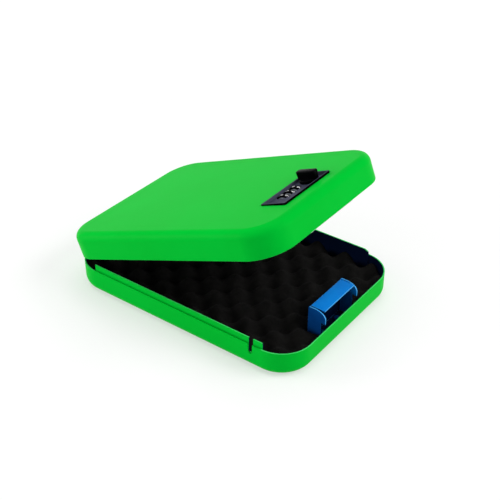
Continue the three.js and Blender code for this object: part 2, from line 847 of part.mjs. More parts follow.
// The latch slide, drawn in its forward, unlatched place: its front bar is just in front
// of the keeper's noses and slides back under them
function latchSlide() {
  const forkY = fenceY - slideTravel / 2;
  const rearY = forkY + forkPostOut + slideSheet;
  const frontY = front + sheet + slideFrontGap;
  const half = windowSide + slideArmWidth;
  const sheetOutline = roundedRectangle(
    half,
    (rearY - frontY) / 2,
    slideCornerRadius,
    cutCornerSteps,
    [keeperCentreX, (frontY + rearY) / 2],
  );
  const plate = prismZ(sheetOutline, slideBottom, slideTop);
  const keeperWindow = block(
    [keeperCentreX - windowSide, noseFrontY - noseRoom, slideBottom - overrun],
    [keeperCentreX + windowSide, keeperBackY + windowRearRoom, slideTop + overrun],
  );
  const posts = [-1, 1].map((side) => {
    const ends = [side * (leverTipRadius + gap), side * forkPostOut].sort((a, b) => a - b);
    return block(
      [leverLeft, forkY + ends[0], slideTop - gap],
      [leverRight, forkY + ends[1], forkTop],
    );
  });
  const pinRoom = crankPinRadius + gap;
  const pinY = knobY - slideTravel / 2;
  const crossSlot = prismZ(
    roundedRectangle(
      pinRoom + (crankThrow - slideTravel / 2) / 2 + gap,
      pinRoom,
      pinRoom,
      cutCornerSteps,
      [knobX + (crankThrow + slideTravel / 2) / 2, pinY],
    ),
    slideBottom - overrun,
    slideTop + overrun,
  );
  const screwRoom = shoulderRadius + gap;
  const screwSlots = shoulderPlaces().map(([x, y]) => prismZ(
    roundedRectangle(
      screwRoom,
      screwRoom + slideTravel / 2,
      screwRoom,
      cutCornerSteps,
      [x, y - slideTravel / 2],
    ),
    slideBottom - overrun,
    slideTop + overrun,
  ));
  return cut(join(cut(plate, keeperWindow), ...posts), crossSlot, ...screwSlots);
}

// A shoulder screw that carries the slide, about its own axis, thread up
function shoulderScrew() {
  const headTop = slideBottom - gap;
  return lathe([
    [0, headTop - shoulderHeadHeight],
    [shoulderHeadRadius, headTop - shoulderHeadHeight],
    [shoulderHeadRadius, headTop],
    [shoulderRadius, headTop],
    [shoulderRadius, caseBottom - gap / 2],
    [shoulderThreadRadius, caseBottom - gap / 2],
    [shoulderThreadRadius, caseBottom + shoulderThreadLength],
    [0, caseBottom + shoulderThreadLength],
  ]);
}

// The thumb turn, about its own axis, standing on the plate with its bar along Y
function knob() {
  const edge = (radius, low, high) => [
    [radius - skirtEdge * (1 - Math.SQRT1_2), high - skirtEdge * (1 - Math.SQRT1_2)],
    [radius - skirtEdge, high],
  ].filter(([, z]) => z > low);
  const skirt = lathe([
    [0, 0],
    [skirtRadius, 0],
    [skirtRadius, skirtHeight - skirtEdge],
    ...edge(skirtRadius, 0, skirtHeight),
    [0, skirtHeight],
  ], roundSides);
  const bar = (grow, radiusDrop) => roundedRectangle(
    barWidth / 2 + grow,
    barLength / 2 + grow,
    barCornerRadius - radiusDrop,
    edgeSteps,
  );
  const edgeDrop = barEdge * (1 - Math.SQRT1_2);
  const grip = loft([
    { outline: bar(0, 0), z: skirtHeight / 2 },
    { outline: bar(barFlare, 0), z: knobHeight - barEdge },
    { outline: bar(barFlare - edgeDrop, 0), z: knobHeight - edgeDrop },
    { outline: bar(barFlare - barEdge, 0), z: knobHeight },
  ]);
  const half = spindleSquare / 2 + gap;
  const socket = block([-half, -half, -overrun], [half, half, spindleGrip + gap]);
  return cut(join(skirt, grip), socket);
}

// The spindle: square in the knob, round in the plate and the case, square in the crank
function knobSpindle() {
  const half = spindleSquare / 2;
  const knobBottom = plateTop + gap;
  const square = block(
    [knobX - half, knobY - half, crankBottom + gap],
    [knobX + half, knobY + half, knobBottom + spindleGrip],
  );
  const journal = barZ(journalRadius, [knobX, knobY], flangeBottom - gap, knobBottom - gap, roundSides);
  const screwHole = barZ(screwRadius + gap, [knobX, knobY], slideTop, crankBottom + screwLength + gap);
  return cut(join(square, journal), screwHole);
}

// The crank under the case, with its throw forward and to the right at rest
function driveCrank() {
  const half = spindleSquare / 2 + gap;
  const offset = crankThrow * Math.SQRT1_2;
  const disc = barZ(crankRadius, [knobX, knobY], crankBottom, crankTop, roundSides);
  const pin = barZ(crankPinRadius, [knobX + offset, knobY - offset], slideBottom + gap, crankTop);
  const hole = block(
    [knobX - half, knobY - half, crankBottom + gap],
    [knobX + half, knobY + half, crankTop + overrun],
  );
  const screwHole = barZ(screwRadius + gap, [knobX, knobY], slideTop, crankTop);
  return cut(join(disc, pin), hole, screwHole);
}

function crankScrew() {
  const headTop = crankBottom - gap;
  const head = barZ(screwHeadRadius, [knobX, knobY], headTop - screwHeadHeight, headTop);
  return join(head, barZ(screwRadius, [knobX, knobY], headTop - screwHeadHeight, crankBottom + screwLength));
}

function lidFoam() {
  const top = lidUnderside - gap;
  const bottom = top - lidFoamThickness;
  const pad = prismZ(planOutline(lidEdgeRadius + lidFoamInset), bottom, top);
  const room = prismZ(
    plateOutline(-2 * gap),
    bottom - overrun,
    top + overrun,
  );
  return cut(pad, room);
}

// Finishes
function finish(color, roughness, metalness) {
  return new THREE.MeshStandardMaterial({ color, roughness, metalness });
}

const greenPaint = finish(0x06c43c, 0.38, 0);
const bluePaint = finish(0x1484ce, 0.4, 0.1);
const blackFoam = finish(0x101112, 0.95, 0);
const plateGrey = finish(0x545665, 0.45, 0.2);
const blackGloss = finish(0x060708, 0.2, 0);
const zincCast = finish(0x8f9296, 0.45, 0.8);
const platedSteel = finish(0xb4b7b9, 0.35, 0.95);
const springSteel = finish(0x9a9ca0, 0.3, 1);
const brassAlloy = finish(0xb08d4a, 0.35, 0.9);

// Assembly
const safe = new THREE.Group();
safe.name = 'portable_car_safe';

const lid = new THREE.Group();
lid.position.set(0, hingeY, hingeZ);
lid.rotation.x = -openAngle;
safe.add(lid);

const lidParts = new THREE.Group();
lidParts.position.set(0, -hingeY, -hingeZ);
lid.add(lidParts);

function place(parent, name, solid, material, position = [0, 0, 0], turnX = 0) {
  const mesh = new THREE.Mesh(toGeometry(solid), material);
  mesh.name = name;
  mesh.position.set(...position);
  mesh.rotation.x = turnX;
  parent.add(mesh);
}

place(safe, 'base_shell', baseShell(), greenPaint);
place(safe, 'side_lip_left', lipStrip(-1), greenPaint);
place(safe, 'side_lip_right', lipStrip(1), greenPaint);
place(safe, 'keeper_bracket', keeperBracket(), bluePaint);
const rivet = keeperRivet();
keeperRivetPlaces().forEach(([x, y], index) => {
  place(safe, `keeper_rivet_${index + 1}`, rivet, platedSteel, [x, y, 0]);
});
place(safe, 'base_foam', baseFoam(), blackFoam);
place(safe, 'hinge_leaf_base', hingeLeaf(false), greenPaint);
place(safe, 'hinge_pin', hingePin(), platedSteel);

place(lidParts, 'hinge_leaf_lid', hingeLeaf(true), greenPaint);
place(lidParts, 'lid_shell', lidShell(), greenPaint);
place(lidParts, 'lid_foam', lidFoam(), blackFoam);
place(lidParts, 'lock_faceplate', lockFaceplate(), plateGrey);
place(lidParts, 'lock_case', lockCase(), zincCast);
const nut = lockNut();
studPlaces().forEach(([x, y], index) => {
  const position = [x, y, flangeBottom - gap - nutHeight / 2];
  place(lidParts, `lock_nut_${index + 1}`, nut, platedSteel, position);
});

place(lidParts, 'dial_axle', dialAxle(), platedSteel);
const ring = numberRing();
const gate = gateRing();
dialPlaces.forEach((x, index) => {
  place(lidParts, `dial_${index + 1}`, ring, blackGloss, [x, dialY, dialZ]);
  place(lidParts, `gate_ring_${index + 1}`, gate, brassAlloy, [x, dialY, dialZ]);
});
place(lidParts, 'detent_spring', detentSpring(), springSteel);
place(lidParts, 'fence_bar', fenceBar(), platedSteel, [0, fenceY, fenceZ], -Math.PI / 4);

place(lidParts, 'knob', knob(), blackGloss, [knobX, knobY, plateTop + gap]);
place(lidParts, 'knob_spindle', knobSpindle(), platedSteel);
place(lidParts, 'drive_crank', driveCrank(), zincCast);
place(lidParts, 'crank_screw', crankScrew(), platedSteel);
place(lidParts, 'latch_slide', latchSlide(), platedSteel);
const shoulder = shoulderScrew();
shoulderPlaces().forEach(([x, y], index) => {
  place(lidParts, `slide_screw_${index + 1}`, shoulder, platedSteel, [x, y, 0]);
});

export default safe;
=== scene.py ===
import math

import bmesh
import bpy
from mathutils import Matrix, Vector


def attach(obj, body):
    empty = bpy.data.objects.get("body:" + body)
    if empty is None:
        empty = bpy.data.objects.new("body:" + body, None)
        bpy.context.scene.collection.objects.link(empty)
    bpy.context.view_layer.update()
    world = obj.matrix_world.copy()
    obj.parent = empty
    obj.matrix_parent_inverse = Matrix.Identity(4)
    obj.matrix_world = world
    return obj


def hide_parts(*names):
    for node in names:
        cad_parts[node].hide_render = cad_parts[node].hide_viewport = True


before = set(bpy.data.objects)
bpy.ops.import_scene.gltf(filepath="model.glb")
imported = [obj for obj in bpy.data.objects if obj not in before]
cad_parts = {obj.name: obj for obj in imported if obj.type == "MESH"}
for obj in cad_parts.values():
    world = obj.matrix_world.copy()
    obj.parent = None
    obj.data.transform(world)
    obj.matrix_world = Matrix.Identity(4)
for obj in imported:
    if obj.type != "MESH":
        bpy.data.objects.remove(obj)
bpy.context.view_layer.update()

# Sizes in millimetres, in the CAD's frame. The lid's pieces are drawn closed and then turned.
MM = 0.001
OPEN = math.radians(21.8)
HINGE = Vector((0, 120.3, 23.55))
LID = Matrix.Translation(HINGE) @ Matrix.Rotation(-OPEN, 4, "X") @ Matrix.Translation(-HINGE)

# Pressed halves, with the lips inside the base's long walls and the slot for a cable
HALF_W, HALF_L, PLAN_R, SHEET, RIM_SOFT = 84.0, 120.0, 29.0, 1.2, 0.35
BASE_HEIGHT, BASE_EDGE = 23.4, 8.1
LID_HEIGHT, LID_EDGE, LID_TOP = 24.4, 7.8, 48.1
LIP_IN, LIP_OUT, LIP_FRONT, LIP_REAR, LIP_LOW, LIP_TOP = 81.3, 82.5, -92, 91, 10, 28.9
CABLE_Y, CABLE_Z, CABLE_R = -80.4, 16.4, 2.1
OUTSIDE_X, INSIDE_X, ABOVE_RIM, ABOVE_LID = -90, -78, 34, 52

# Keeper bracket: its middle, its web's back, its top and the outline of its ears
KEEP_X, KEEP_BACK, KEEP_TOP, FOOT_LOW = -2.6, -98.9, 35.6, 1.5
FOLD_R, FOLD_HALF, PLATE_REACH, FOOT_REACH = 1.8, 22.9, 14.4, 12
EAR_IN, EAR_OUT, EAR_SOFT, SHANK = 24.0, 25.2, 0.8, 12.7
SHOULDER, SHOULDER_DROP, NOSE, NOSE_LOW, NOSE_LENGTH = 5.6, 7.2, 16.7, 24, 2.4
RIVETS = [(KEEP_X - 12, KEEP_BACK - 6), (KEEP_X + 12, KEEP_BACK - 6)]
RIVET_SEAT, RIVET_HOLE = 2.7, 1.8

# Lock: the lid's opening, the plate behind it, the raised rim, the dials and the thumb turn
OPENING_MID, OPENING_HALF, OPENING_R, OPENING_SOFT = (-3.25, -90.8), (32.25, 12.8), 0.8, 0.7
PLATE_MID, PLATE_HALF, PLATE_R = (-3.25, -88.05), (40.25, 19.55), 3
PLATE_LOW, PLATE_TOP = 44.6, 46.6
RAISED_MID, RAISED_HALF, RAISED_WALL = (-3.25, -91.05), (32.2, 12.5), (1.4, 1.3)
RAISED_LOW, RAISED_FRONT, RAISED_BACK = 46.4, 49.8, 49.1
DIAL_X, DIAL_Y, DIAL_Z, DIAL_R, DIAL_W = (-15.0, -6.8, 1.4), -85.9, 38.7, 9.4, 4.2
DIAL_BORE, DIAL_SHOULDER, DIAL_SOFT = 4.0, 1.5, 0.3
DIGIT_STEP, DIGIT_TURN, DIGIT_SIZE = 2 * math.pi / 10, math.radians(-10), 4.6
GROOVE, GROOVE_DEPTH = math.radians(4.2), 0.45
FIRST_DIGITS = (8, 5, 8)
KNOB, KNOB_LOW, SKIRT_R, SKIRT_TOP, SKIRT_SOFT = (15.0, -91.3), 46.9, 8, 1.9, 0.9
GRIP_HALF, GRIP_R = (3.2, 9.3), 2.4
STUDS = [(x, y) for x in (-39.7, 33.2) for y in (-98.8, -82.8)]
NUT_LOW, NUT_HIGH, NUT_R, NUT_HOLE = 40.1, 42.5, 3.15, 1.6
SLIDE_SCREWS, SLIDE_SCREW_Y = (-25.0, 26.0), -76.35
CROSS_HALF, CROSS_DEPTH = (1.7, 0.35), (21, 21.9)
WINDOW_HALF, WINDOW_R, STUD_HOLE, KNOB_HOLE = (13.7, 5.57), 5.5, 1.7, 3.6
DIAL_BAY_R, DIAL_BAY_X = 9.7, (-17.4, 3.8)
THROUGH = (40, 50)

# Piano hinge, and the notch for it in both rear walls
BARREL, BORE, LEAF, LEAF_DEPTH, HINGE_HALF, KNUCKLES, GAP = 2.7, 1.8, 0.9, 15.0, 48.0, 7, 0.3
NOTCH_HALF, NOTCH_Y, NOTCH_Z = 49.4, (118.5, 126), (20.5, 26.6)
HINGE_AT = (HINGE.y, HINGE.z)
KNUCKLE_W = 2 * HINGE_HALF / KNUCKLES

# Foam: the egg crate's waves, its gap to the shell and to the keeper, and the flat pad in the lid
PITCH, PEAK, VALLEY, WAVE_START, WAVE_SINK = 30.0, 18.2, 7.4, 6, 0.1
FOAM_GRID, FOAM_HALF = 2.0, (85, 121)
FOAM_INSET, FOAM_LOW, FOAM_EDGE, KEEPER_ROOM = 3.1, 1.6, 6.9, (28.3, 3.1)
ABOVE_FOAM, BELOW_FOAM, BEFORE_FOAM = 30, -2, -125
PAD_RINGS = ((9.3, 43.7), (8.9, 44.1), (8.9, 46.3), (9.1, 46.5))
PAD_HOLE_HALF, PAD_HOLE_R = (41, 20.6), 3.6


# Materials
def node(tree, kind, **values):
    """A shader node with values for its inputs and its own settings."""
    made = tree.nodes.new(kind)
    for key, value in values.items():
        if key in made.inputs.keys():
            made.inputs[key].default_value = value
        else:
            setattr(made, key, value)
    return made


def srgb(*rgb):
    """A linear colour from screen levels of 0 to 255."""
    return tuple(c / 255 / 12.92 if c <= 10.3 else ((c / 255 + 0.055) / 1.055) ** 2.4
                 for c in rgb) + (1,)


def material(name, dark, light, rough, blotch, metal=0.0, specular=0.5, tint=(1, 1, 1),
             grain=900.0, bump=0.05, grain_depth=0.00005, stretch=(1, 1, 1), cells=False):
    """A softly varied colour, with roughness and a fine bump from one finer pattern."""
    mat = bpy.data.materials.new(name)
    mat.use_nodes = True
    tree = mat.node_tree
    link = tree.links.new
    shader = tree.nodes["Principled BSDF"]
    shader.inputs["Metallic"].default_value = metal
    shader.inputs["Specular IOR Level"].default_value = specular
    shader.inputs["Specular Tint"].default_value = (*tint, 1)
    where = node(tree, "ShaderNodeTexCoord")
    spread = node(tree, "ShaderNodeMapping", Scale=stretch)
    link(where.outputs["Object"], spread.inputs["Vector"])
    big = node(tree, "ShaderNodeTexNoise", Scale=blotch, Detail=4.0, Roughness=0.55)
    link(spread.outputs["Vector"], big.inputs["Vector"])
    ramp = node(tree, "ShaderNodeValToRGB")
    first, last = ramp.color_ramp.elements
    first.position, first.color = 0.3, dark
    last.position, last.color = 0.7, light
    link(big.outputs["Fac"], ramp.inputs["Fac"])
    link(ramp.outputs["Color"], shader.inputs["Base Color"])
    if cells:
        fine = node(tree, "ShaderNodeTexVoronoi", Scale=grain).outputs["Distance"]
    else:
        fine = node(tree, "ShaderNodeTexNoise", Scale=grain, Detail=3.0).outputs["Fac"]
    link(spread.outputs["Vector"], fine.node.inputs["Vector"])
    rough_map = node(tree, "ShaderNodeMapRange", **{"To Min": rough[0], "To Max": rough[1]})
    link(fine, rough_map.inputs["Value"])
    link(rough_map.outputs["Result"], shader.inputs["Roughness"])
    raised = node(tree, "ShaderNodeBump", Strength=bump, Distance=grain_depth)
    link(fine, raised.inputs["Height"])
    link(raised.outputs["Normal"], shader.inputs["Normal"])
    return mat


GREEN = material("green_paint", srgb(0, 187, 48), srgb(0, 195, 54), (0.34, 0.42), specular=0.015,
                 tint=(0.5, 1, 0.6), blotch=9, grain=700, bump=0.1, grain_depth=0.00004)
# A paler green: a painted highlight on the rims and on the lips' top edges
GREEN_HIGHLIGHT = material("green_paint_highlight", srgb(52, 218, 96), srgb(76, 226, 118), (0.34, 0.42),
                      specular=0.015, tint=(0.5, 1, 0.6), blotch=60, bump=0.06,
                      grain_depth=0.00004)
# A dark navy: the lining inside the pressed halves, and painted shade on the keeper's shaded faces
NAVY = material("navy_lining_and_shade", srgb(2, 16, 44), srgb(4, 24, 60), (0.4, 0.55), specular=0.12,
                blotch=30, grain=800, bump=0.1)
BLUE = material("blue_paint", srgb(4, 134, 236), srgb(12, 148, 246), (0.4, 0.5), specular=0.1,
                blotch=60, grain=1100, bump=0.1)
# A darker copy of the blue paint, painted shade on the keeper and its rivets
BLUE_SHADE = material("blue_paint_shade", srgb(2, 62, 128), srgb(4, 74, 146), (0.4, 0.5),
                      specular=0.05, blotch=60, grain=1100, bump=0.1)
# A paler copy of the blue paint, a painted highlight on the keeper's edges
BLUE_HIGHLIGHT = material("blue_paint_highlight", srgb(48, 156, 232), srgb(70, 172, 242), (0.35, 0.45),
                     specular=0.2, blotch=120, grain=1200)
FOAM = material("black_foam", srgb(14, 14, 13), srgb(27, 26, 25), (0.9, 1.0), specular=0.08,
                blotch=120, grain=1500, bump=0.9, grain_depth=0.0004, cells=True)
PLATE = material("plate_grey", srgb(50, 52, 69), srgb(60, 62, 79), (0.42, 0.55), specular=0.04,
                 blotch=80, grain=1800, bump=0.08)
# A paler copy of the plate's grey, painted light on the raised rim's inner walls
PLATE_PAINTED_LIGHT = material("plate_grey_painted_light", srgb(76, 78, 97), srgb(86, 88, 107), (0.42, 0.55),
                        specular=0.04, blotch=80, grain=1800, bump=0.08)
BLACK = material("black_gloss", srgb(2, 2, 4), srgb(6, 5, 8), (0.2, 0.32), specular=0.012,
                 blotch=90)
DIAL_SIDE = material("dial_side", srgb(132, 138, 150), srgb(162, 168, 180), (0.3, 0.45),
                     metal=0.1, blotch=200, grain=2500, bump=0.08)
WHITE = material("digit_white", srgb(228, 230, 232), srgb(250, 250, 250), (0.45, 0.6),
                 blotch=900, grain=3000)
ZINC = material("zinc_cast", srgb(120, 123, 128), srgb(160, 163, 168), (0.4, 0.6), metal=0.85,
                blotch=70, bump=0.35, grain_depth=0.0001)
STEEL = material("plated_steel", srgb(128, 131, 135), srgb(140, 143, 147), (0.3, 0.46), metal=1.0,
                 blotch=40, bump=0.06, stretch=(1, 9, 1))
SPRING = material("spring_steel", srgb(140, 144, 150), srgb(180, 184, 190), (0.18, 0.32),
                  metal=1.0, blotch=90, stretch=(8, 1, 1))
BRASS = material("brass_alloy", srgb(150, 138, 110), srgb(182, 170, 142), (0.25, 0.42), metal=1.0,
                 blotch=120, grain=1200, bump=0.08)

# The materials of the pieces that have more than one, and their places in each list
PRESSED = [GREEN, NAVY, GREEN_HIGHLIGHT]
PAINT, LINING, RIM_HIGHLIGHT = range(3)
KEEPER = [BLUE, BLUE_HIGHLIGHT, BLUE_SHADE, NAVY]
KEEPER_HIGHLIGHT, KEEPER_SHADE, KEEPER_DEEP_SHADE = 1, 2, 3
RAISED = [PLATE, BLACK, PLATE_PAINTED_LIGHT]
RAISED_TOP, RAISED_OUTSIDE, RAISED_INSIDE = range(3)
DIAL = [BLACK, DIAL_SIDE]


# Pieces and the tools that cut them. A shape is a pair of vertices and faces.
def added(name, data):
    """A new object in the scene."""
    obj = bpy.data.objects.new(name, data)
    bpy.context.scene.collection.objects.link(obj)
    return obj


def drawn(name, shape, lid):
    """A mesh of a shape in millimetres, moved from the closed lid to its rest place in metres."""
    verts, faces = shape
    mesh = bpy.data.meshes.new(name)
    turn = LID if lid else Matrix.Identity(4)
    mesh.from_pydata([(turn @ Vector(v)) * MM for v in verts], [], faces)
    return mesh


def cleaned(mesh):
    """The mesh with doubled vertices joined and its faces turned outwards."""
    work = bmesh.new()
    work.from_mesh(mesh)
    bmesh.ops.remove_doubles(work, verts=work.verts, dist=1e-7)
    bmesh.ops.recalc_face_normals(work, faces=work.faces)
    work.to_mesh(mesh)
    work.free()
    return mesh


def shaded(mesh, sharp):
    """Smooth shading, with the edges above an angle kept sharp."""
    mesh.shade_smooth()
    mesh.set_sharp_from_angle(angle=math.radians(sharp))


def settle(name, mesh, body, replaces=(), sharp=35.0):
    """A piece from a mesh, on its body, with the CAD nodes it replaces hidden."""
    shaded(cleaned(mesh), sharp)
    obj = added(name, mesh)
    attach(obj, body)
    if replaces:
        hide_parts(*replaces)
    return obj


def piece(name, shape, mats, body, lid=False, replaces=(), faces_mat=None, sharp=35.0):
    """A piece from a shape, with its materials."""
    mesh = drawn(name, shape, lid)
    for mat in mats:
        mesh.materials.append(mat)
    if faces_mat:
        mesh.polygons.foreach_set("material_index", faces_mat)
    return settle(name, mesh, body, replaces, sharp)


def boolean(obj, shapes, mode="DIFFERENCE", lid=False):
    """Cuts shapes from a piece, adds them to it or keeps what they share."""
    tools = [added("tool", cleaned(drawn("tool", shape, lid))) for shape in shapes]
    for tool in tools:
        step = obj.modifiers.new("cut", "BOOLEAN")
        step.object, step.operation, step.solver = tool, mode, "EXACT"
    depsgraph = bpy.context.evaluated_depsgraph_get()
    mesh = bpy.data.meshes.new_from_object(obj.evaluated_get(depsgraph))
    obj.modifiers.clear()
    obj.data = mesh
    for tool in tools:
        bpy.data.objects.remove(tool)
    shaded(mesh, 35)


def bevel(obj, width, mat=-1):
    """Rounded edges, with a material of their own if one is given."""
    step = obj.modifiers.new("edge", "BEVEL")
    step.width, step.segments, step.material = width * MM, 2, mat
    step.limit_method, step.angle_limit = "ANGLE", math.radians(30)
    step.harden_normals = True


def even(obj):
    """Normals weighted by face size, so that large flat faces shade flat."""
    step = obj.modifiers.new("even", "WEIGHTED_NORMAL")
    step.keep_sharp, step.weight = True, 100


# Outlines and shapes
def quarter(steps, first=0):
    """Angles in equal steps from 0 to a right angle."""
    return [math.pi / 2 * i / steps for i in range(first, steps + 1)]


def circle(radius, centre, sides):
    """An outline with equal sides."""
    angles = [2 * math.pi * i / sides for i in range(sides)]
    return [(centre[0] + radius * math.cos(a), centre[1] + radius * math.sin(a)) for a in angles]


def rounded(half_x, half_y, radius, steps, centre=(0, 0), runs=1):
    """A rectangle with round corners. Each straight side is cut into that many runs."""
    points = []
    for corner, (sx, sy) in enumerate(((1, 1), (-1, 1), (-1, -1), (1, -1))):
        for step in range(steps + 1):
            a = math.pi / 2 * (corner + step / steps)
            points.append((centre[0] + sx * (half_x - radius) + radius * math.cos(a),
                           centre[1] + sy * (half_y - radius) + radius * math.sin(a)))
    outline = []
    for i, (px, py) in enumerate(points):
        outline.append((px, py))
        if (i + 1) % (steps + 1) == 0:
            qx, qy = points[(i + 1) % len(points)]
            outline += [(px + (qx - px) * k / runs, py + (qy - py) * k / runs)
                        for k in range(1, runs)]
    return outline


def plan(inset, steps=22):
    """The safe's plan, drawn in by an inset."""
    return rounded(HALF_W - inset, HALF_L - inset, PLAN_R - inset, steps, runs=6)


def band(a, b, count):
    """The faces between two rings of equal count, by their numbers."""
    return [(a * count + i, a * count + (i + 1) % count,
             b * count + (i + 1) % count, b * count + i) for i in range(count)]


def loft(rings):
    """A capped shape through rings of equal count, each given as points and a height."""
    count, last = len(rings[0][0]), len(rings) - 1
    verts = [(x, y, z) for points, z in rings for x, y in points]
    faces = [face for ring in range(last) for face in band(ring, ring + 1, count)]
    faces += [tuple(range(count))[::-1], tuple(range(last * count, (last + 1) * count))]
    return verts, faces


def hoop(rings, mats):
    """A closed hoop through rings of vertices, with a material for each band of faces."""
    count = len(rings[0])
    verts = [point for ring in rings for point in ring]
    faces = [face for ring in range(len(rings))
             for face in band(ring, (ring + 1) % len(rings), count)]
    return (verts, faces), [mat for mat in mats for _ in range(count)]


def extrude(outline, low, high):
    return loft([(outline, low), (outline, high)])


def spun(profile, centre, sides=48):
    """Rings of radius and height about a centre."""
    return loft([(circle(radius, centre, sides), height) for radius, height in profile])


def cylinder(radius, centre, low, high, sides=48):
    return spun([(radius, low), (radius, high)], centre, sides)


def along_x(shape):
    """A shape drawn in y and z, with its heights laid along x."""
    verts, faces = shape
    return [(h, y, z) for y, z, h in verts], faces


def box(low, high):
    (x0, y0, z0), (x1, y1, z1) = low, high
    verts = [(x0, y0, z0), (x1, y0, z0), (x1, y1, z0), (x0, y1, z0),
             (x0, y0, z1), (x1, y0, z1), (x1, y1, z1), (x0, y1, z1)]
    return verts, [(0, 3, 2, 1), (4, 5, 6, 7), (0, 1, 5, 4),
                   (1, 2, 6, 5), (2, 3, 7, 6), (3, 0, 4, 7)]


def threaded(radius, depth, pitch, low, high):
    """The profile of a thread's crests and roots between two heights."""
    turns = int((high - low) / pitch)
    points = []
    for k in range(turns):
        root = low + k * pitch
        points += [(radius - depth, root), (radius, root + pitch * 0.4),
                   (radius, root + pitch * 0.6)]
    return points + [(radius - depth, low + turns * pitch)]


# The two pressed halves
def pan(height, edge, top=None):
    """A pan from the outside of its floor over the rim to the inside, and its faces' materials.

    It is turned upside down if the height of its top is given.
    """
    steps, rim_steps, inner = 12, 3, edge - SHEET
    rings = [(plan(edge * (1 - math.sin(a))), edge * (1 - math.cos(a))) for a in quarter(steps)]
    rings.append((plan(0), height - RIM_SOFT))
    rings += [(plan(RIM_SOFT * (1 - math.cos(a))), height - RIM_SOFT * (1 - math.sin(a)))
              for a in quarter(rim_steps, 1)]
    rings += [(plan(SHEET - RIM_SOFT * (1 - math.sin(a))), height - RIM_SOFT * (1 - math.cos(a)))
              for a in quarter(rim_steps, 1)]
    rings += [(plan(SHEET + inner * (1 - math.sin(a))), SHEET + inner * (1 - math.cos(a)))
              for a in reversed(quarter(steps))]
    if top is not None:
        rings = [(points, top - z) for points, z in rings]
    # The rim's bands take the paler green as a painted highlight, between the paint outside and the
    # lining inside
    outside, rim = steps + 2, 4
    bands = [PAINT] * outside + [RIM_HIGHLIGHT] * rim + [LINING] * (len(rings) - 1 - outside - rim)
    count = len(rings[0][0])
    return loft(rings), [mat for mat in bands for _ in range(count)] + [PAINT, LINING]


def cable_slot(inner_x):
    """A slot for a cable, round below and open above, through the left wall."""
    outline = [(CABLE_Y + CABLE_R * math.cos(a), CABLE_Z + CABLE_R * math.sin(a))
               for a in (math.pi + math.pi * i / 24 for i in range(25))]
    outline += [(CABLE_Y + CABLE_R, ABOVE_RIM), (CABLE_Y - CABLE_R, ABOVE_RIM)]
    return along_x(extrude(outline, OUTSIDE_X, inner_x))


def opening(margin):
    """The lid's opening over the lock, wider by a margin."""
    return rounded(OPENING_HALF[0] + margin, OPENING_HALF[1] + margin, OPENING_R + margin, 6,
                   OPENING_MID)


hinge_notch = box((-NOTCH_HALF, NOTCH_Y[0], NOTCH_Z[0]), (NOTCH_HALF, NOTCH_Y[1], NOTCH_Z[1]))
pan_shape, pan_mats = pan(BASE_HEIGHT, BASE_EDGE)
base = piece("base_pan", pan_shape, PRESSED, "base", replaces=["base_shell"],
             faces_mat=pan_mats)
boolean(base, [hinge_notch, cable_slot(-LIP_OUT)]
        + [cylinder(RIVET_SEAT, rivet, -2, 3) for rivet in RIVETS])
# The rim's painted highlight stays at the front, the corners and the back, and is taken off beside
# the lips
for face in base.data.polygons:  # the paler edge shows at the front, the corners and the back
    x, y = (face.center / MM)[:2]
    if face.material_index == RIM_HIGHLIGHT and abs(x) > 80 and LIP_FRONT < y < LIP_REAR:
        face.material_index = PAINT
even(base)

pan_shape, pan_mats = pan(LID_HEIGHT, LID_EDGE, LID_TOP)
lid = piece("lid_pan", pan_shape, PRESSED, "lid", lid=True, replaces=["lid_shell"],
            faces_mat=pan_mats)
opening_rings = [(opening(0), THROUGH[0]), (opening(0), LID_TOP - OPENING_SOFT)]
opening_rings += [(opening(OPENING_SOFT * (1 - math.cos(a))),
                   LID_TOP - OPENING_SOFT + OPENING_SOFT * math.sin(a)) for a in quarter(4, 1)]
opening_rings.append((opening(OPENING_SOFT + 0.01), ABOVE_LID))
boolean(lid, [loft(opening_rings), hinge_notch], lid=True)
even(lid)

# Lips along the long sides, each with a cut-back front end of its own
for name, sign, run, drop in (("side_lip_left", -1, 0.6, 0.8), ("side_lip_right", 1, 4.0, 3.6)):
    outline = [(LIP_FRONT, LIP_LOW), (LIP_REAR, LIP_LOW), (LIP_REAR, LIP_TOP),
               (LIP_FRONT + run, LIP_TOP), (LIP_FRONT + run * 0.15, LIP_TOP - drop * 0.45),
               (LIP_FRONT, LIP_TOP - drop)]
    lip_shape = along_x(extrude(outline, *sorted((sign * LIP_IN, sign * LIP_OUT))))
    lip = piece(name + "_dressed", lip_shape, PRESSED, "base", replaces=[name])
    if sign < 0:
        boolean(lip, [cable_slot(INSIDE_X)])
    # Inner faces and front ends take the lining, and the top faces take the paler green as a
    # painted highlight
    for face in lip.data.polygons:
        if face.normal.x * sign < -0.9 or face.normal.y < -0.5:
            face.material_index = LINING
        elif face.normal.z > 0.3:
            face.material_index = RIM_HIGHLIGHT
    bevel(lip, 0.3)


# Keeper bracket: a foot, a web and a top plate folded from one strip, between two hooked ears
def bend(radius, angles):
    """Points round the fold between the web and the top plate."""
    return [(KEEP_BACK - FOLD_R + radius * math.cos(a), KEEP_TOP - FOLD_R + radius * math.sin(a))
            for a in angles]


